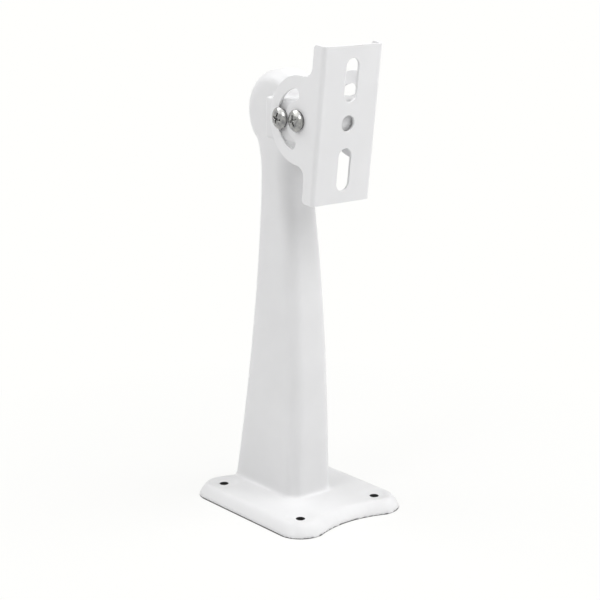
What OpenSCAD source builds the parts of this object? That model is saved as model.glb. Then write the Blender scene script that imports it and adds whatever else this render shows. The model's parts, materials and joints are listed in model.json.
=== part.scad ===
// Camera bracket: a cast arm with a base flange and a folded plate that tilts on its head.
// Millimetres. The origin is on the floor plane under the middle of the base. Z runs up the
// column, X is the tilt axis, and the plate's web faces -Y.

/* [Base flange] */
// Distance between the base screw holes along X
base_pitch_x = 56; // [48:1:80]
// Distance between the base screw holes along Y
base_pitch_y = 72; // [66:1:100]
// Radius of the flange corners, round the screw holes
base_corner_r = 15; // [14:0.1:20]
// How far the front and back edges curve in
base_waist = 5.4; // [3:0.1:7]
// Height of the flange
base_h = 7.5; // [7:0.5:12]
// Width of the rounded upper edge, seen from above
base_edge = 5.5; // [2:0.1:6.5]
// Diameter of the base screw holes
base_hole_d = 5.3; // [4:0.1:8]
// Depth of the shallow dish round each hole
dish_depth = 1.5; // [0.8:0.1:2]
// Diameter of the dish
dish_d = 17.5; // [14:0.5:20]
// Thickness of the cast walls
wall = 3; // [2:0.1:3.5]
// Thickness of the ribs under the flange
rib_t = 2.4; // [1.5:0.1:4]

/* [Column] */
// Width of the column at its foot, along X
foot_w = 30.8; // [28:0.1:34]
// Depth of the column at its foot, along Y
foot_d = 60; // [54:0.5:66]
// How far the back of the foot stays inside the flange's back edge
foot_back_inset = 0.3; // [0.2:0.1:4]
// Radius of the fillet between the foot and the flange
foot_fillet = 2.2; // [1.5:0.1:5]
// Radius of the column's upright edges
column_edge_r = 8; // [6:0.1:10]
// Width of the neck, along X
neck_w = 24.9; // [22:0.1:28]
// Depth of the neck, along Y
neck_d = 24.6; // [22:0.1:30]
// Distance of the neck's middle behind the base centre
neck_y = 10.5; // [6:0.1:14]
// Height of the neck, where the column is thinnest
neck_z = 194; // [170:1:220]
// Height of the top of the hollow inside the column
hollow_z = 150; // [100:1:165]

/* [Head] */
// Radius of the round head
head_r = 23.8; // [22:0.1:28]
// Thickness of the head, along X
head_w = 25.1; // [23:0.1:28]
// Radius of the head's rounded rim
head_edge_r = 8.5; // [6:0.1:10]
// Radius of the hollow between the neck and the head
head_blend_r = 40; // [30:1:50]
// Height of the tilt axis and of the head's centre above the neck
pivot_rise = 35.9; // [34:0.1:38]
// Distance from the head's centre forward to the tilt axis
pivot_reach = 35.5; // [33:0.1:42]
// Height of the bill block
bill_h = 23.4; // [20:0.1:25]
// How far the bill block's middle lies below the tilt axis
bill_drop = 1.3; // [0:0.1:2]
// Gap between the front of the bill block and the plate's web
bill_gap = 1.2; // [0.6:0.1:2]
// Distance from the tilt axis to the back end of the bill block
bill_back = 30.2; // [27:0.1:34]
// Radius of the bill block's back corners
bill_corner_r = 1.8; // [1:0.1:4]

/* [Tilt plate] */
// Width over both flanges, along X
plate_w = 42; // [38:0.5:50]
// Length of the web
plate_h = 87; // [84:0.5:96]
// How far the web's middle lies below the tilt axis
plate_drop = 0.5; // [0:0.1:2]
// Thickness of the sheet
sheet_t = 1.5; // [1.2:0.1:2.5]
// Outer radius of the two folds
fold_r = 2.7; // [2.6:0.1:4]
// Distance from the tilt axis to the outer face of the web
web_reach = 17.3; // [16:0.1:20]
// Depth of the flange strips above and below the ears
strip_d = 8.6; // [7:0.1:10]
// Radius of the strips' free corners
strip_corner_r = 2.2; // [1:0.1:3.5]
// Radius of the round ears
ear_r = 24.5; // [22:0.1:26]
// Distance of the ears' centre in front of the tilt axis
ear_lead = 0.8; // [0:0.1:3]
// Radius of the hollow curve between an ear and its strips
ear_blend_r = 6.5; // [4:0.1:9]
// Width of the camera slots and diameter of the centre hole
camera_slot_w = 9; // [6:0.1:12]
// Distance between the centre hole and a camera slot
camera_slot_bridge = 8.2; // [5:0.1:12]
// Distance from the end of a camera slot to the end of the web
camera_slot_edge = 6.8; // [5:0.1:10]
// Height of the centre hole above the web's middle
camera_hole_rise = 1; // [0:0.1:2]
// Radius of the curved lock slots' centre line
lock_r = 14; // [13:0.1:15]
// Angle from the middle of a lock slot to the centre of each round end
lock_swing_deg = 75; // [60:1:78]
// Tilt of the plate at rest, top towards the front
rest_tilt_deg = 7; // [0:0.5:20]

/* [Screws] */
// Diameter of the screw shanks
screw_d = 6; // [5:0.5:6]
// Length of the screws under the head
screw_l = 12; // [10:0.5:14]
// Diameter of the screw heads
screw_head_d = 12; // [10:0.1:12.5]
// Height of the screw heads
screw_head_h = 2.8; // [2.5:0.1:4.5]
// Diameter of the spring washers
washer_d = 11.2; // [9.5:0.1:12]
// Thickness of the spring washers
washer_t = 1; // [0.8:0.1:2]
// Width of the split in the spring washers
washer_split = 0.9; // [0.5:0.1:1.5]
// Radial play of the screws in the plate and in the washers
screw_play = 0.25; // [0.2:0.05:0.4]
// Radial play of the screws in the tapped holes
thread_play = 0.05; // [0.03:0.01:0.1]
// Gap between flat faces that slide when the plate tilts
slide_gap = 0.1; // [0.05:0.05:0.2]

/* [Hidden] */
$fn = 72;
corner_steps = 9;
column_steps = 24;
flare_steps = 8;
hollow_steps = 10;
edge_steps = 8;
waist_steps = 10;
overrun = 1;
foot_sink = 0.25;
paint = "whitesmoke";
zinc = "silver";

// Base flange: its edge is four corner arcs, two straight sides and two curved-in edges. The
// edge's profile is an ellipse at a curve share of one and a straight slope at two.
edge_curve_share = 1.6;
hole_x = base_pitch_x / 2;
hole_y = base_pitch_y / 2;
waist_flat = base_corner_r - base_waist;
waist_r = (hole_x * hole_x + waist_flat * waist_flat - base_corner_r * base_corner_r) / (2 * base_waist);
waist_cy = hole_y + waist_flat + waist_r;
waist_deg = atan(hole_x / (waist_cy - hole_y));
boss_r = base_hole_d / 2 + wall;
dish_r = (dish_d * dish_d / 4 + dish_depth * dish_depth) / (2 * dish_depth);
pocket_z = base_h - wall;
rim_t = max(wall, base_edge);

// Column: front and back lines follow powers of the height, from the foot to the neck
foot_back = hole_y + waist_flat - foot_back_inset;
foot_front = foot_back - foot_d;
neck_back = neck_y + neck_d / 2;
neck_front = neck_y - neck_d / 2;
back_curve_share = 1.63;
front_curve_share = 2.45;

// Head and tilt axis
pivot_z = neck_z + pivot_rise;
pivot_y = neck_y - pivot_reach;
bill_r = web_reach - sheet_t - bill_gap;
bill_low = pivot_z - bill_drop - bill_h / 2;
bill_w = plate_w - 2 * sheet_t - 2 * slide_gap;
join_share = 0.6;
join_z = pivot_z - join_share * head_r;

// Tilt plate, in its own frame: Y and Z from the tilt axis, before the tilt at rest
web_mid_z = -plate_drop;
camera_slot_near = camera_slot_w / 2 + camera_slot_bridge;
camera_slot_l = plate_h / 2 - camera_slot_edge - camera_slot_near;
camera_slot_z = camera_slot_near + camera_slot_l / 2;
strip_edge = strip_d - web_reach;
ear_blend_y = strip_edge + ear_blend_r;
ear_blend_z = sqrt(pow(ear_r + ear_blend_r, 2) - pow(ear_blend_y + ear_lead, 2));
ear_back = ear_r - ear_lead;

// Screw stack, from the flange's outer face outwards
washer_x = plate_w / 2 + slide_gap;
screw_seat_x = washer_x + washer_t;
screw_hole_r = screw_d / 2 + screw_play;
tap_end_x = screw_seat_x - screw_l - wall;
cross_w = screw_d / 5;
cross_l = screw_head_d / 2;
cross_depth = screw_head_h / 2;
head_rim_share = 0.25;
split_slant_deg = 20;

function arc(cx, cy, r, from_deg, to_deg, steps, z) =
    [for (i = [0:steps]) let (a = from_deg + (to_deg - from_deg) * i / steps)
        [cx + r * cos(a), cy + r * sin(a), z]];

// The curved-in edge on one side, without the end points that the corner arcs give
function waist(side, inset, z) =
    [for (i = [1:waist_steps - 1]) let (a = side * waist_deg * (1 - 2 * i / waist_steps))
        [(waist_r + inset) * sin(a), side * (waist_cy - (waist_r + inset) * cos(a)), z]];

// The flange's edge at one height, moved in by inset
function flange_ring(inset, z) =
    let (r = base_corner_r - inset)
    concat(
        arc(hole_x, hole_y, r, 0, 90 + waist_deg, corner_steps, z),
        waist(1, inset, z),
        arc(-hole_x, hole_y, r, 90 - waist_deg, 180, corner_steps, z),
        arc(-hole_x, -hole_y, r, 180, 270 + waist_deg, corner_steps, z),
        waist(-1, inset, z),
        arc(hole_x, -hole_y, r, 270 - waist_deg, 360, corner_steps, z));

// A rounded rectangle from front to back, half_w to each side, at one height
function column_ring(half_w, front, back, r, z) =
    concat(
        arc(half_w - r, back - r, r, 0, 90, corner_steps, z),
        arc(r - half_w, back - r, r, 90, 180, corner_steps, z),
        arc(r - half_w, front + r, r, 180, 270, corner_steps, z),
        arc(half_w - r, front + r, r, 270, 360, corner_steps, z));

function rise_share(z) = max(0, min(1, (z - base_h) / (neck_z - base_h)));
function flare(z) = z < neck_z ? 0 : head_blend_r - sqrt(pow(head_blend_r, 2) - pow(z - neck_z, 2));
function column_half_w(z) = (foot_w + (neck_w - foot_w) * rise_share(z)) / 2;
function column_back(z) =
    neck_back + (foot_back - neck_back) * pow(1 - rise_share(z), back_curve_share) + flare(z);
function column_front(z) =
    foot_front + (neck_front - foot_front) * pow(rise_share(z), front_curve_share) - flare(z);
function column_r(z) = min(column_edge_r + flare(z) / 2, column_half_w(z));

// The column at one height: grow widens its front and sides, inset shrinks it all round
function column_at(z, grow = 0, inset = 0) =
    column_ring(column_half_w(z) + grow - inset, column_front(z) - grow + inset,
        column_back(z) - inset, column_r(z) + grow - inset, z);

function flat(points) = [for (p = points) [p[0], p[1]]];

function middle(ring) = [for (p = ring) 1 / len(ring)] * ring;

// A closed solid through rings of equally many points, from the lowest to the highest. Each end
// is a fan of triangles from the middle of its ring, so a ring may curve in.
module skin(rings) {
    n = len(rings[0]);
    last = len(rings) - 1;
    low_mid = (last + 1) * n;
    high_mid = low_mid + 1;
    sides = [for (j = [0:last - 1], i = [0:n - 1])
        let (a = j * n + i, b = j * n + (i + 1) % n)
        each [[a, a + n, b + n], [a, b + n, b]]];
    ends = [for (i = [0:n - 1])
        let (k = (i + 1) % n)
        each [[i, k, low_mid], [last * n + k, last * n + i, high_mid]]];
    polyhedron(
        points = concat([for (ring = rings) each ring], [middle(rings[0]), middle(rings[last])]),
        faces = concat(sides, ends));
}

module at_base_holes() {
    for (x = [-hole_x, hole_x], y = [-hole_y, hole_y])
        translate([x, y, 0]) children();
}

// A round solid along X, centred on x = 0 at one point of the YZ plane
module x_cylinder(r, length, y, z) {
    translate([-length / 2, y, z])
        rotate([0, 90, 0]) cylinder(r = r, h = length);
}

module flange_body() {
    skin([for (i = [0:edge_steps])
        let (a = 90 * i / edge_steps,
            inset = base_edge * (1 - pow(cos(a), edge_curve_share)))
        flange_ring(inset, base_h * pow(sin(a), edge_curve_share))]);
}

module column_body() {
    low = base_h - foot_sink;
    high = low + foot_fillet;
    skin(concat(
        [column_at(base_h / 4, grow = foot_fillet)],
        [for (i = [0:edge_steps]) let (a = 90 * i / edge_steps)
            column_at(low + foot_fillet * (1 - cos(a)), grow = foot_fillet * (1 - sin(a)))],
        [for (i = [1:column_steps]) column_at(high + (neck_z - high) * i / column_steps)],
        [for (i = [1:flare_steps]) column_at(neck_z + (join_z - neck_z) * i / flare_steps)]));
}

// The round head: a disc with a full rounded rim, on an axis along X
module head_body() {
    flat_r = head_r - head_edge_r;
    half_flat = head_w / 2 - head_edge_r;
    translate([0, neck_y, pivot_z]) rotate([0, 90, 0])
        rotate_extrude() {
            translate([0, -head_w / 2]) square([flat_r, head_w]);
            translate([0, -half_flat]) square([head_r, 2 * half_flat]);
            for (z = [-half_flat, half_flat])
                translate([flat_r, z]) circle(r = head_edge_r);
        }
}

// The bill block: its front is round about the tilt axis, its back end is square
module bill_body() {
    corner_low = bill_low + bill_corner_r;
    corner_high = bill_low + bill_h - bill_corner_r;
    intersection() {
        x_cylinder(bill_r, bill_w, pivot_y, pivot_z);
        translate([-bill_w / 2, pivot_y - bill_r - overrun, bill_low])
            cube([bill_w, bill_r + overrun, bill_h]);
    }
    translate([-bill_w / 2, pivot_y, bill_low])
        cube([bill_w, bill_back - bill_corner_r, bill_h]);
    translate([-bill_w / 2, pivot_y, corner_low])
        cube([bill_w, bill_back, corner_high - corner_low]);
    for (z = [corner_low, corner_high])
        x_cylinder(bill_corner_r, bill_w, pivot_y + bill_back - bill_corner_r, z);
}

// Ribs under the flange, seen from below: three across the base and one along it
module rib_lines() {
    reach_x = hole_x + base_corner_r;
    reach_y = hole_y + base_corner_r;
    for (y = [-hole_y, (foot_front + foot_back) / 2, hole_y])
        translate([-reach_x, y - rib_t / 2]) square([2 * reach_x, rib_t]);
    translate([-rib_t / 2, -reach_y]) square([rib_t, 2 * reach_y]);
}

// The hollow under the flange, which leaves the rim, the column's wall, bosses and ribs
module flange_pocket() {
    translate([0, 0, -overrun]) linear_extrude(height = pocket_z + overrun)
        difference() {
            polygon(flat(flange_ring(rim_t, 0)));
            polygon(flat(column_at(0)));
            at_base_holes() circle(r = boss_r);
            rib_lines();
        }
}

// The hollow in the column, open at the bottom
module column_hollow() {
    skin(concat([column_at(-overrun, inset = wall)],
        [for (i = [0:hollow_steps]) let (z = base_h + (hollow_z - base_h) * i / hollow_steps)
            column_at(z, inset = wall)]));
}

// The shallow round dish in the flange's top, round a screw hole
module hole_dish() {
    translate([0, 0, base_h - dish_depth]) rotate_extrude()
        intersection() {
            square([dish_r, 2 * dish_depth]);
            translate([0, dish_r]) circle(r = dish_r);
        }
}

module arm() {
    color(paint) difference() {
        union() {
            flange_body();
            column_body();
            head_body();
            bill_body();
        }
        flange_pocket();
        column_hollow();
        at_base_holes() {
            translate([0, 0, -overrun]) cylinder(d = base_hole_d, h = base_h + 2 * overrun);
            hole_dish();
        }
        for (side = [0, 1], y = [pivot_y, pivot_y + lock_r])
            mirror([side, 0, 0]) translate([tap_end_x, y, pivot_z])
                rotate([0, 90, 0]) cylinder(d = screw_d, h = bill_w / 2 - tap_end_x + overrun);
    }
}

// The outline of a flange seen along X, as a solid over the plate's whole width
module plate_side() {
    half = plate_w / 2 + overrun;
    width = 2 * half;
    corner_y = strip_edge - strip_corner_r;
    low = web_mid_z - plate_h / 2;
    difference() {
        union() {
            translate([-half, -web_reach, low])
                cube([width, strip_d - strip_corner_r, plate_h]);
            translate([-half, -web_reach, low + strip_corner_r])
                cube([width, strip_d, plate_h - 2 * strip_corner_r]);
            for (z = [low + strip_corner_r, low + plate_h - strip_corner_r])
                x_cylinder(strip_corner_r, width, corner_y, z);
            x_cylinder(ear_r, width, -ear_lead, 0);
            translate([-half, 0, 0]) rotate([90, 0, 90]) linear_extrude(height = width)
                polygon([[strip_edge, -ear_blend_z], [ear_blend_y, -ear_blend_z], [-ear_lead, 0],
                    [ear_blend_y, ear_blend_z], [strip_edge, ear_blend_z]]);
        }
        for (z = [-ear_blend_z, ear_blend_z])
            x_cylinder(ear_blend_r, width + 2 * overrun, ear_blend_y, z);
    }
}

// The folded sheet as a plain channel, deep enough for the ears
module plate_channel() {
    depth = web_reach + ear_back + overrun;
    inner_r = fold_r - sheet_t;
    low = web_mid_z - plate_h / 2;
    difference() {
        union() {
            translate([-plate_w / 2, fold_r - web_reach, low]) cube([plate_w, depth, plate_h]);
            translate([fold_r - plate_w / 2, -web_reach, low])
                cube([plate_w - 2 * fold_r, fold_r, plate_h]);
            for (x = [fold_r - plate_w / 2, plate_w / 2 - fold_r])
                translate([x, fold_r - web_reach, low]) cylinder(r = fold_r, h = plate_h);
        }
        translate([sheet_t - plate_w / 2, fold_r - web_reach, low - overrun])
            cube([plate_w - 2 * sheet_t, depth + overrun, plate_h + 2 * overrun]);
        translate([fold_r - plate_w / 2, sheet_t - web_reach, low - overrun])
            cube([plate_w - 2 * fold_r, depth, plate_h + 2 * overrun]);
        for (x = [fold_r - plate_w / 2, plate_w / 2 - fold_r])
            translate([x, fold_r - web_reach, low - overrun])
                cylinder(r = inner_r, h = plate_h + 2 * overrun);
    }
}

// The curved slot that the lock screws run in, through both ears
module lock_slot() {
    length = plate_w + 2 * overrun;
    reach = 2 * lock_r;
    intersection() {
        difference() {
            x_cylinder(lock_r + screw_hole_r, length, 0, 0);
            x_cylinder(lock_r - screw_hole_r, length + overrun, 0, 0);
        }
        translate([-length / 2, 0, 0]) rotate([90, 0, 90]) linear_extrude(height = length)
            polygon([[0, 0], [reach * cos(lock_swing_deg), -reach * sin(lock_swing_deg)],
                [reach, -reach * sin(lock_swing_deg)], [reach, reach * sin(lock_swing_deg)],
                [reach * cos(lock_swing_deg), reach * sin(lock_swing_deg)]]);
    }
    for (side = [-1, 1])
        x_cylinder(screw_hole_r, length, lock_r * cos(lock_swing_deg), side * lock_r * sin(lock_swing_deg));
}

// A hole through the web, drilled along Y
module web_hole(z) {
    translate([0, sheet_t + overrun - web_reach, z])
        rotate([90, 0, 0]) cylinder(d = camera_slot_w, h = sheet_t + 2 * overrun);
}

module camera_slot(z) {
    straight = camera_slot_l - camera_slot_w;
    web_hole(z - straight / 2);
    web_hole(z + straight / 2);
    translate([-camera_slot_w / 2, -web_reach - overrun, z - straight / 2])
        cube([camera_slot_w, sheet_t + 2 * overrun, straight]);
}

module tilt_plate() {
    color(paint) translate([0, pivot_y, pivot_z]) rotate([rest_tilt_deg, 0, 0])
        difference() {
            intersection() {
                plate_channel();
                plate_side();
            }
            x_cylinder(screw_hole_r, plate_w + 2 * overrun, 0, 0);
            lock_slot();
            web_hole(web_mid_z + camera_hole_rise);
            for (side = [-1, 1])
                camera_slot(web_mid_z + side * camera_slot_z);
        }
}

// Places a screw or washer drawn along +X: side is -1 for the left, reach is measured from the axis
module on_side(side, reach) {
    translate([0, pivot_y + reach, pivot_z]) mirror([side < 0 ? 1 : 0, 0, 0]) children();
}

// A pan-head screw with a cross recess
module screw(side, reach) {
    cap_h = screw_head_h * (1 - head_rim_share);
    dome_r = (screw_head_d * screw_head_d / 4 + cap_h * cap_h) / (2 * cap_h);
    color(zinc) on_side(side, reach) difference() {
        translate([screw_seat_x, 0, 0]) rotate([0, 90, 0]) rotate_extrude() {
            intersection() {
                square([screw_head_d / 2, screw_head_h]);
                translate([0, screw_head_h - dome_r]) circle(r = dome_r);
            }
            translate([0, -screw_l]) square([screw_d / 2 - thread_play, screw_l + cap_h / 2]);
        }
        for (a = [0, 90])
            translate([screw_seat_x + screw_head_h - cross_depth, 0, 0]) rotate([a + 45, 0, 0])
                translate([0, -cross_l / 2, -cross_w / 2]) cube([cross_depth + overrun, cross_l, cross_w]);
    }
}

// A split spring washer
module washer(side, reach) {
    color(zinc) on_side(side, reach) translate([washer_x, 0, 0]) difference() {
        rotate([0, 90, 0]) cylinder(d = washer_d, h = washer_t);
        translate([-overrun, 0, 0]) rotate([0, 90, 0])
            cylinder(r = screw_hole_r, h = washer_t + 2 * overrun);
        rotate([0, 0, split_slant_deg]) translate([-washer_t, -washer_split / 2, 0])
            cube([3 * washer_t, washer_split, washer_d]);
    }
}

arm();
tilt_plate();
screw(-1, 0);  // pivot_screw_left
screw(1, 0);  // pivot_screw_right
screw(-1, lock_r);  // lock_screw_left
screw(1, lock_r);  // lock_screw_right
washer(-1, 0);  // pivot_washer_left
washer(1, 0);  // pivot_washer_right
washer(-1, lock_r);  // lock_washer_left
washer(1, lock_r);  // lock_washer_right
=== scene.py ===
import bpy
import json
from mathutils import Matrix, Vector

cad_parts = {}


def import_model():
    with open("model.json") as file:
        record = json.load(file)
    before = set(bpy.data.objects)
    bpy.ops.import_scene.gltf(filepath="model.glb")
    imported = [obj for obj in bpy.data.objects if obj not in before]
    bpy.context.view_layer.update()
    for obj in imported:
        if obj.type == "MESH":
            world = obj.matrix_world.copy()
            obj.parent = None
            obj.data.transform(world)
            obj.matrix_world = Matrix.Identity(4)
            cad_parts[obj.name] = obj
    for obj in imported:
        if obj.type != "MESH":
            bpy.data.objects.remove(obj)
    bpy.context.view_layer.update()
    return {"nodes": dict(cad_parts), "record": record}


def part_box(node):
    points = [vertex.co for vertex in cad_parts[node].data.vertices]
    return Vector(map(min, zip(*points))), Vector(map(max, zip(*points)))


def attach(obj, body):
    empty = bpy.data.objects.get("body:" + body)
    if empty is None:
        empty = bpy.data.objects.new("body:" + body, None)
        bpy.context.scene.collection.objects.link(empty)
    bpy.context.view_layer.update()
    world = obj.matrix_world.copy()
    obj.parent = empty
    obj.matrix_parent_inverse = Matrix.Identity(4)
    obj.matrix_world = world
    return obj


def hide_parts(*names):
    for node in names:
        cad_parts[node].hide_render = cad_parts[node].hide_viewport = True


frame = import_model()

import json
from math import cos, pi, radians, sin, sqrt, tau

import bmesh
import bpy
from mathutils import Matrix, Vector

scene = bpy.context.scene
nodes = frame["nodes"]
MM = 0.001

# The four base holes, with the record's spacing and radius
base_holes = next(mount["dims"] for mount in frame["record"]["mounts"] if mount["name"] == "base_holes")
HOLE_X = base_holes["spacing_x_mm"] / 2 * MM
HOLE_Y = base_holes["spacing_y_mm"] / 2 * MM
HOLE_R = base_holes["hole_r_mm"] * MM
HOLES = [(x, y) for x in (-HOLE_X, HOLE_X) for y in (-HOLE_Y, HOLE_Y)]


# Helpers
def link(obj):
    scene.collection.objects.link(obj)
    return obj


def mesh_object(name, bm):
    """A new object in the scene with bm as its mesh. It frees bm."""
    mesh = bpy.data.meshes.new(name)
    bm.to_mesh(mesh)
    bm.free()
    return link(bpy.data.objects.new(name, mesh))


def bake(obj):
    """Replaces the object's mesh with the result of its modifiers."""
    bpy.context.view_layer.update()
    graph = bpy.context.evaluated_depsgraph_get()
    mesh = bpy.data.meshes.new_from_object(obj.evaluated_get(graph))
    obj.modifiers.clear()
    obj.data = mesh


def smooth(mesh):
    mesh.polygons.foreach_set("use_smooth", [True] * len(mesh.polygons))
    mesh.update()


def set_material(obj, material):
    obj.data.materials.clear()
    obj.data.materials.append(material)


class Nodes:
    """A short way to add the nodes of a node tree and to join them."""

    def __init__(self, tree):
        self.tree = tree

    def add(self, kind, inputs=None, **settings):
        """A new node. An input given as a socket is joined to it, any other is set to the value."""
        node = self.tree.nodes.new(kind)
        for key, value in settings.items():
            setattr(node, key, value)
        for key, value in (inputs or {}).items():
            if isinstance(value, bpy.types.NodeSocket):
                self.tree.links.new(value, node.inputs[key])
            else:
                node.inputs[key].default_value = value
        return node

    def join(self, source, target):
        self.tree.links.new(source, target)

    def math(self, operation, *values):
        return self.add("ShaderNodeMath", dict(enumerate(values)), operation=operation).outputs[0]

    def length(self, x, y):
        squares = [self.math("MULTIPLY", value, value) for value in (x, y)]
        return self.math("SQRT", self.math("ADD", *squares))

    def spread(self, value, low, high, start=0.0, end=1.0):
        """Low where value is start or less, high where it is end or more, and even between them."""
        inputs = {"Value": value, "From Min": start, "From Max": end, "To Min": low, "To Max": high}
        return self.add("ShaderNodeMapRange", inputs).outputs["Result"]

    def ramp(self, value, stops, low, high):
        """As spread, with two colours for low and high, and with start and end in stops."""
        node = self.add("ShaderNodeValToRGB", {"Fac": value})
        for element, place, colour in zip(node.color_ramp.elements, stops, (low, high)):
            element.position = place
            element.color = (*colour, 1)
        return node.outputs["Color"]

    def seen(self):
        """1 for rays from the camera and those that go on from gloss or glass, 0 for all others."""
        path = self.add("ShaderNodeLightPath")
        direct = self.math("MAXIMUM", path.outputs["Is Camera Ray"], path.outputs["Is Glossy Ray"])
        return self.math("MAXIMUM", direct, path.outputs["Is Transmission Ray"])


class MaterialNodes(Nodes):
    """The nodes of a new material, round its principled shader."""

    def __init__(self, name):
        self.material = bpy.data.materials.new(name)
        self.material.use_nodes = True
        super().__init__(self.material.node_tree)
        self.shader = self.tree.nodes["Principled BSDF"]
        self.output = self.tree.nodes["Material Output"]
        self.place = self.add("ShaderNodeTexCoord").outputs["Object"]

    def noise(self, scale, detail=2.0, roughness=0.5):
        inputs = {"Vector": self.place, "Scale": scale, "Detail": detail, "Roughness": roughness}
        return self.add("ShaderNodeTexNoise", inputs).outputs["Fac"]

    def bump(self, height, strength, distance, **inputs):
        inputs.update(Height=height, Strength=strength, Distance=distance)
        return self.add("ShaderNodeBump", inputs).outputs["Normal"]

    def from_middle(self):
        """How far a point lies from the object's middle, along X and along Y."""
        axes = self.add("ShaderNodeSeparateXYZ", {0: self.place})
        return [self.math("ABSOLUTE", axes.outputs[axis]) for axis in "XY"]

    def set(self, name, value):
        """Sets an input of the principled shader to a value that is the same all over."""
        self.shader.inputs[name].default_value = value

    def drive(self, name, source):
        """Joins an input of the principled shader to a socket."""
        self.join(source, self.shader.inputs[name])


# Materials
# A scale is about how many patches of a noise lie side by side in a metre.
# Clouds in the coat's colour
TINT_SCALE = 38.0
TINT_STOPS = (0.3, 0.7)
# Patches of the coat's gloss
GLOSS_SCALE = 160.0
GLOSS_PLAY = 0.05
COAT_SPECULAR = 0.45
# Orange peel
PEEL_SCALE = 900.0
PEEL_H = 0.12 * MM
PEEL_STRENGTH = 0.16
# Waves of the cast skin
WAVE_SCALE = 95.0
WAVE_H = 0.6 * MM
WAVE_STRENGTH = 0.22
# Painted shade on the base holes' walls: the share of the coat's colour left there, and how far outside
# the wall the painted shade starts to fade and is gone
HOLE_SHADE_SHARE = 0.05
HOLE_SHADE_FADE = 0.01 * MM
HOLE_SHADE_END = 0.07 * MM
# Clouds in the zinc's colour
CLOUD_SCALE = 420.0
CLOUD_STOPS = (0.25, 0.75)
# Patches of the zinc's gloss
SHINE_SCALE = 700.0
SHINE_DOWN = 0.07
SHINE_UP = 0.09
# Grain of the zinc
GRAIN_SCALE = 1500.0
GRAIN_H = 0.08 * MM


def outside_holes(n):
    """0 on the wall of a base hole, where the coat gets a painted shade, and 1 everywhere else."""
    x, y = n.from_middle()
    from_hole = n.length(n.math("SUBTRACT", x, HOLE_X), n.math("SUBTRACT", y, HOLE_Y))
    return n.spread(from_hole, 0.0, 1.0, HOLE_R + HOLE_SHADE_FADE, HOLE_R + HOLE_SHADE_END)


def powder_coat(name, low, high, roughness, cast):
    """White powder coat with a fine orange peel. On a casting it shows the slow waves of the skin under
    it, and the walls of the drilled base holes get a painted shade: their colour is darkened in place of
    the shadow in the holes."""
    n = MaterialNodes(name)
    colour = n.ramp(n.noise(TINT_SCALE, detail=3.0), TINT_STOPS, low, high)
    normal = n.bump(n.noise(PEEL_SCALE, roughness=0.6), PEEL_STRENGTH, PEEL_H)
    if cast:
        # The hole walls' painted shade: the coat's colour is darkened there.
        shade = n.spread(outside_holes(n), HOLE_SHADE_SHARE, 1.0)
        scaled = n.add("ShaderNodeVectorMath", {0: colour, "Scale": shade}, operation="SCALE")
        colour = scaled.outputs["Vector"]
        normal = n.bump(n.noise(WAVE_SCALE), WAVE_STRENGTH, WAVE_H, Normal=normal)
    n.drive("Base Color", colour)
    n.drive("Roughness", n.spread(n.noise(GLOSS_SCALE), roughness - GLOSS_PLAY, roughness + GLOSS_PLAY))
    n.drive("Normal", normal)
    n.set("Specular IOR Level", COAT_SPECULAR)
    return n.material


def zinc(name, low, high, roughness, grain):
    """Zinc plate: grey metal, a little warmer where it is light, with a fine grain."""
    n = MaterialNodes(name)
    n.drive("Base Color", n.ramp(n.noise(CLOUD_SCALE, detail=3.0), CLOUD_STOPS, low, high))
    n.drive("Roughness", n.spread(n.noise(SHINE_SCALE), roughness - SHINE_DOWN, roughness + SHINE_UP))
    n.drive("Normal", n.bump(n.noise(GRAIN_SCALE, detail=3.0), grain, GRAIN_H))
    n.set("Metallic", 1.0)
    return n.material


CAST_WHITE = powder_coat("cast_white", low=(0.75, 0.75, 0.755), high=(0.78, 0.78, 0.785),
                         roughness=0.40, cast=True)
SHEET_WHITE = powder_coat("sheet_white", low=(0.79, 0.79, 0.795), high=(0.815, 0.815, 0.82),
                          roughness=0.38, cast=False)
BRIGHT_ZINC = zinc("bright_zinc", low=(0.18, 0.18, 0.19), high=(0.42, 0.42, 0.40),
                   roughness=0.16, grain=0.06)
DULL_ZINC = zinc("dull_zinc", low=(0.14, 0.14, 0.15), high=(0.26, 0.26, 0.25),
                 roughness=0.32, grain=0.10)


# The cast arm
WELD_GAP = 0.01 * MM
# How far a point of a hole's wall may lie from its radius
WALL_PLAY = 0.05 * MM
# The size of the new skin's faces. At 0.9 mm there are more than 200,000 triangles.
SKIN_STEP = 0.94 * MM
RELAX_SHARE = 0.5
RELAX_PASSES = 5
DRILL_L = 40 * MM
DRILL_SIDES = 64
SHARP_ANGLE = radians(50)


def in_a_hole(face):
    """Whether a face is part of the wall of a base hole."""
    return any(all(abs((vert.co.xy - Vector(hole)).length - HOLE_R) < WALL_PLAY for vert in face.verts)
               for hole in HOLES)


def hole_cutter():
    bm = bmesh.new()
    for x, y in HOLES:
        bmesh.ops.create_cone(bm, cap_ends=True, segments=DRILL_SIDES, radius1=HOLE_R, radius2=HOLE_R,
                              depth=DRILL_L, matrix=Matrix.Translation((x, y, 0)))
    return mesh_object("hole_cutter", bm)


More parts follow.
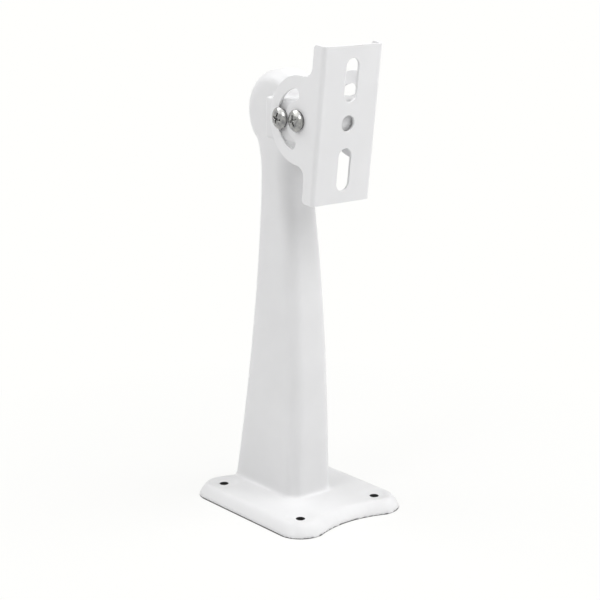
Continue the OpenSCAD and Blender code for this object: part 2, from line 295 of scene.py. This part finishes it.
def cast_arm():
    """The casting: its CAD skin, rebuilt evenly and smoothed, so that every crease gets the small
    radius that a die casting and its coat have. The base holes are closed before that and drilled
    again after it, so their edges stay crisp."""
    bm = bmesh.new()
    bm.from_mesh(nodes["arm"].data)
    bmesh.ops.remove_doubles(bm, verts=bm.verts, dist=WELD_GAP)
    bmesh.ops.delete(bm, geom=[face for face in bm.faces if in_a_hole(face)], context="FACES")
    bmesh.ops.holes_fill(bm, edges=[edge for edge in bm.edges if edge.is_boundary])
    obj = mesh_object("arm_casting", bm)
    skin = obj.modifiers.new("skin", "REMESH")
    skin.mode = "VOXEL"
    skin.voxel_size = SKIN_STEP
    relax = obj.modifiers.new("relax", "SMOOTH")
    relax.factor = RELAX_SHARE
    relax.iterations = RELAX_PASSES
    cutter = hole_cutter()
    drill = obj.modifiers.new("drill", "BOOLEAN")
    drill.operation = "DIFFERENCE"
    drill.solver = "EXACT"
    drill.object = cutter
    bake(obj)
    bpy.data.objects.remove(cutter)
    smooth(obj.data)
    obj.data.set_sharp_from_angle(angle=SHARP_ANGLE)
    set_material(obj, CAST_WHITE)
    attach(obj, "arm_body")
    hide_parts("arm")


cast_arm()


# CAD pieces that stay
CAD_WELD_GAP = 0.02 * MM
FLAT_ANGLE = radians(0.5)
EDGE_ANGLE = radians(40)


def dress(node, material, edge, segments):
    """Gives a CAD piece its material, and its sharp edges a bevel as wide as edge."""
    obj = nodes[node]
    set_material(obj, material)
    mesh = obj.data
    if "custom_normal" in mesh.attributes:
        mesh.attributes.remove(mesh.attributes["custom_normal"])
    smooth(mesh)
    weld = obj.modifiers.new("weld", "WELD")
    weld.merge_threshold = CAD_WELD_GAP
    planar = obj.modifiers.new("planar", "DECIMATE")
    planar.decimate_type = "DISSOLVE"
    planar.angle_limit = FLAT_ANGLE
    bevel = obj.modifiers.new("bevel", "BEVEL")
    bevel.width = edge
    bevel.segments = segments
    bevel.limit_method = "ANGLE"
    bevel.angle_limit = EDGE_ANGLE
    normals = obj.modifiers.new("normals", "WEIGHTED_NORMAL")
    normals.keep_sharp = True


dress("tilt_plate", SHEET_WHITE, edge=0.25 * MM, segments=3)
for side in ("left", "right"):
    for kind in ("pivot", "lock"):
        dress(f"{kind}_washer_{side}", DULL_ZINC, edge=0.12 * MM, segments=2)


# Screws, in millimetres
# x is 0 at the seat of the head and grows towards its top.
HEAD_R = 6.0
HEAD_H = 2.8
# Where the dome would reach the full radius, if the edge were sharp
DOME_FOOT = 0.7
# The top of the rim's straight part, and the rounded edge above it
RIM_TOP = 0.55
RIM_EDGE_W = 0.25
RIM_EDGE_H = 0.225
SEAT_CHAMFER = 0.2
SHANK_FILLET = 0.05
SHANK_R = 2.95
SHANK_L = 12.0
PITCH = 1.0
THREAD_ROOT_R = 2.5
# How much steeper the groove's flanks are than a plain V as wide as the pitch
THREAD_FLANK = 1.25
# Where the groove begins under the head, and where it has its full depth
THREAD_START = -0.6
THREAD_FULL = -2.0
TIP_L = 0.9
TIP_SLOPE = 0.8
RECESS_DEPTH = 2.0
# The radii between which the recess's deeper middle runs out
RECESS_MIDDLE = (0.75, 1.25)
# How far its arms reach, the length in which they run out, and the share of the depth lost on the way
RECESS_REACH = 3.3
RECESS_END = 0.5
RECESS_RISE = 0.42
# Half the width of an arm, the share of it lost on the way, and where its wall is, beside that width
ARM_HALF = 0.52
ARM_TAPER = 0.18
ARM_WALL = (-0.06, 0.22)
SIDES = 192
DOME_RINGS = 64
EDGE_RINGS = 4
SHANK_RINGS = 96
TURNS = [tau * k / SIDES for k in range(SIDES)]


def smoothstep(low, high, value):
    t = min(1.0, max(0.0, (value - low) / (high - low)))
    return t * t * (3 - 2 * t)


def recess(r, turn):
    """How far the cross recess lies below the dome: four tapered arms that meet in a deeper middle."""
    y, z = abs(r * cos(turn)), abs(r * sin(turn))
    depth = RECESS_DEPTH * (1 - smoothstep(*RECESS_MIDDLE, r))
    for along, across in ((y, z), (z, y)):
        bottom = RECESS_DEPTH * (1 - RECESS_RISE * along / RECESS_REACH)
        half = ARM_HALF * (1 - ARM_TAPER * along / RECESS_REACH)
        inside = 1 - smoothstep(half + ARM_WALL[0], half + ARM_WALL[1], across)
        inside *= 1 - smoothstep(RECESS_REACH - RECESS_END, RECESS_REACH, along)
        depth = max(depth, bottom * inside)
    return depth


def thread(x, turn):
    """The shank's radius at a point: a helical groove that fades in under the head, and a tapered tip."""
    phase = (x / PITCH + turn / tau) % 1.0
    groove = min(1.0, THREAD_FLANK * (1 - abs(2 * phase - 1)))
    depth = (SHANK_R - THREAD_ROOT_R) * groove * smoothstep(THREAD_START, THREAD_FULL, x)
    return SHANK_R - depth - TIP_SLOPE * max(0.0, TIP_L - SHANK_L - x)


def screw_rings():
    """The screw's surface from the middle of its dome to its tip, as rings of (x, radius) points."""
    rise = HEAD_H - DOME_FOOT
    dome_r = (HEAD_R ** 2 + rise ** 2) / (2 * rise)
    crown = HEAD_R - RIM_EDGE_W
    for i in range(1, DOME_RINGS + 1):
        r = crown * i / DOME_RINGS
        top = HEAD_H - dome_r + sqrt(dome_r ** 2 - r ** 2)
        yield [(top - recess(r, turn), r) for turn in TURNS]
    for i in range(1, EDGE_RINGS + 1):
        a = pi / 2 * i / EDGE_RINGS
        yield [(RIM_TOP + RIM_EDGE_H * cos(a), crown + RIM_EDGE_W * sin(a))] * SIDES
    yield [(SEAT_CHAMFER, HEAD_R)] * SIDES
    yield [(0.0, HEAD_R - SEAT_CHAMFER)] * SIDES
    yield [(0.0, SHANK_R + SHANK_FILLET)] * SIDES
    for i in range(1, SHANK_RINGS + 1):
        x = -SHANK_L * i / SHANK_RINGS
        yield [(x, thread(x, turn)) for turn in TURNS]


def screw_object(name):
    """A pan-head screw along +X, its seat at the origin."""
    bm = bmesh.new()
    top = bm.verts.new((HEAD_H - RECESS_DEPTH, 0, 0))
    end = bm.verts.new((-SHANK_L, 0, 0))
    rings = [[bm.verts.new((x, r * cos(turn), r * sin(turn))) for turn, (x, r) in zip(TURNS, ring)]
             for ring in screw_rings()]
    for k in range(SIDES):
        after = (k + 1) % SIDES
        bm.faces.new((top, rings[0][k], rings[0][after]))
        for near, far in zip(rings, rings[1:]):
            bm.faces.new((near[k], far[k], far[after], near[after]))
        bm.faces.new((rings[-1][k], end, rings[-1][after]))
    for vert in bm.verts:
        vert.co *= MM
    return mesh_object(name, bm)


def screw(node, turned):
    """A threaded screw in place of its CAD solid, with its head's top where the solid has it. Its
    recess is turned by that many degrees."""
    obj = screw_object(node + "_threaded")
    low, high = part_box(node)
    left = node.endswith("left")
    seat = low.x + HEAD_H * MM if left else high.x - HEAD_H * MM
    place = Matrix.Translation((seat, (low.y + high.y) / 2, (low.z + high.z) / 2))
    outwards = Matrix.Rotation(pi if left else 0.0, 4, "Z")
    obj.data.transform(place @ outwards @ Matrix.Rotation(radians(turned), 4, "X"))
    smooth(obj.data)
    set_material(obj, BRIGHT_ZINC)
    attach(obj, "arm_body")
    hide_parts(node)


screw("pivot_screw_left", turned=15)
screw("lock_screw_left", turned=75)
screw("pivot_screw_right", turned=40)
screw("lock_screw_right", turned=5)


# Floor and background
SEEN_WHITE = (1.0, 1.0, 0.985, 1)
FILL_WHITE = (1.0, 1.0, 1.0, 1)
FILL = 0.09
FLOOR_R = 1.6
FLOOR_SIDES = 96
# The floor lies this far below the base, so that the two never share a plane
FLOOR_Z = -0.3 * MM
FLOOR_ROUGHNESS = 0.9
FLOOR_COLOUR = 0.86
# Painted shadow: the floor's dark colour under the flange and in a thin line along its edge, and how far
# past its outline the change begins and ends
UNDER_FLANGE_SHADE = 0.10
UNDER_SHADE_EDGE = (-0.8 * MM, 0.1 * MM)
# The background's share in the floor, near and far, and how far from the middle those are
GLOW_SHARE = (0.80, 1.0)
GLOW_REACH = (0.08, 0.30)
# The flange's corners are round about the holes, and its front and back edges curve in by the waist
FLANGE_CORNER_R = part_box("arm")[1].x - HOLE_X
FLANGE_WAIST = 5.4 * MM


def past_flange(n):
    """How far a point of the floor lies outside the flange's outline, or below 0 inside it."""
    flat = FLANGE_CORNER_R - FLANGE_WAIST
    waist_r = (HOLE_X ** 2 + flat ** 2 - FLANGE_CORNER_R ** 2) / (2 * FLANGE_WAIST)
    x, y = n.from_middle()
    past_x = n.math("MAXIMUM", n.math("SUBTRACT", x, HOLE_X), 0.0)
    past_y = n.math("MAXIMUM", n.math("SUBTRACT", y, HOLE_Y), 0.0)
    from_waist = n.length(x, n.math("SUBTRACT", y, HOLE_Y + flat + waist_r))
    past_corner = n.math("SUBTRACT", n.length(past_x, past_y), FLANGE_CORNER_R)
    return n.math("MAXIMUM", past_corner, n.math("SUBTRACT", waist_r, from_waist))


def stage_floor():
    """A white floor. It shows the object's shadow near it, fades into the white background further off,
    and has a painted shadow under the flange and just past its edge: a dark floor colour in place of the
    shade where no light comes."""
    bm = bmesh.new()
    bmesh.ops.create_circle(bm, cap_ends=True, radius=FLOOR_R, segments=FLOOR_SIDES)
    obj = mesh_object("floor", bm)
    obj.location.z = FLOOR_Z
    n = MaterialNodes("floor_white")
    outside = n.spread(past_flange(n), 0.0, 1.0, *UNDER_SHADE_EDGE)
    distance = n.add("ShaderNodeVectorMath", {0: n.place}, operation="LENGTH").outputs["Value"]
    share = n.math("MULTIPLY", n.spread(distance, *GLOW_SHARE, *GLOW_REACH), outside)
    share = n.math("MULTIPLY", share, n.seen())
    # The dark colour under and along the flange is a painted shadow.
    n.drive("Base Color", n.spread(outside, UNDER_FLANGE_SHADE, FLOOR_COLOUR))
    n.set("Roughness", FLOOR_ROUGHNESS)
    n.set("Specular IOR Level", 0.0)
    glow = n.add("ShaderNodeEmission", {"Color": SEEN_WHITE, "Strength": 1.0})
    mix = n.add("ShaderNodeMixShader", {0: share, 1: n.shader.outputs[0], 2: glow.outputs[0]})
    n.join(mix.outputs[0], n.output.inputs["Surface"])
    set_material(obj, n.material)


def world():
    """A faint even fill, and white where the camera or a reflection sees past the floor."""
    studio = bpy.data.worlds.new("studio")
    studio.use_nodes = True
    studio.node_tree.nodes.clear()
    scene.world = studio
    n = Nodes(studio.node_tree)
    fill = n.add("ShaderNodeBackground", {"Color": FILL_WHITE, "Strength": FILL})
    white = n.add("ShaderNodeBackground", {"Color": SEEN_WHITE, "Strength": 1.0})
    mix = n.add("ShaderNodeMixShader", {0: n.seen(), 1: fill.outputs[0], 2: white.outputs[0]})
    n.add("ShaderNodeOutputWorld", {"Surface": mix.outputs[0]})


stage_floor()
world()


# Lamps and camera
# Places and lamp sizes are in metres, and the lens and the sensor in millimetres.
LAMP_AIM = Vector((0.0, 0.0, 0.13))
LAMP_DISTANCE = 1.2
CAMERA_PLACE = Vector((-0.555753, -0.677115, 0.343414))
CAMERA_TARGET = Vector((0.001082, -0.000246, 0.121968))
CAMERA_LENS = 94.265
CAMERA_SENSOR = 36.0
CAMERA_NEAR = 0.01


def softbox(name, azimuth, elevation, size, watts):
    """A square lamp. Azimuth 0 is in front of the plate, towards -Y, and grows towards +X."""
    data = bpy.data.lights.new(name, "AREA")
    data.shape = "SQUARE"
    data.size = size
    data.energy = watts
    obj = link(bpy.data.objects.new(name, data))
    a, e = radians(azimuth), radians(elevation)
    away = Vector((sin(a) * cos(e), -cos(a) * cos(e), sin(e)))
    obj.location = LAMP_AIM + LAMP_DISTANCE * away
    obj.rotation_euler = away.to_track_quat("Z", "Y").to_euler()
    obj.visible_camera = False


def camera():
    """The photograph's own view, solved from the outlines of the base, the plate and its slots."""
    data = bpy.data.cameras.new("camera")
    data.lens = CAMERA_LENS
    data.sensor_width = CAMERA_SENSOR
    data.clip_start = CAMERA_NEAR
    obj = link(bpy.data.objects.new("camera", data))
    obj.location = CAMERA_PLACE
    obj.rotation_euler = (CAMERA_PLACE - CAMERA_TARGET).to_track_quat("Z", "Y").to_euler()
    scene.camera = obj


softbox("top", azimuth=5, elevation=70, size=1.0, watts=4.8)
softbox("front", azimuth=10, elevation=45, size=1.0, watts=5.3)
softbox("right", azimuth=60, elevation=45, size=1.0, watts=3.4)
softbox("low_right", azimuth=60, elevation=20, size=0.6, watts=3.2)
softbox("low_left", azimuth=-78, elevation=28, size=0.4, watts=2.7)
softbox("left", azimuth=-110, elevation=47, size=1.0, watts=3.9)
softbox("back_left", azimuth=-150, elevation=45, size=0.6, watts=3.9)
camera()
scene.view_settings.view_transform = "Standard"
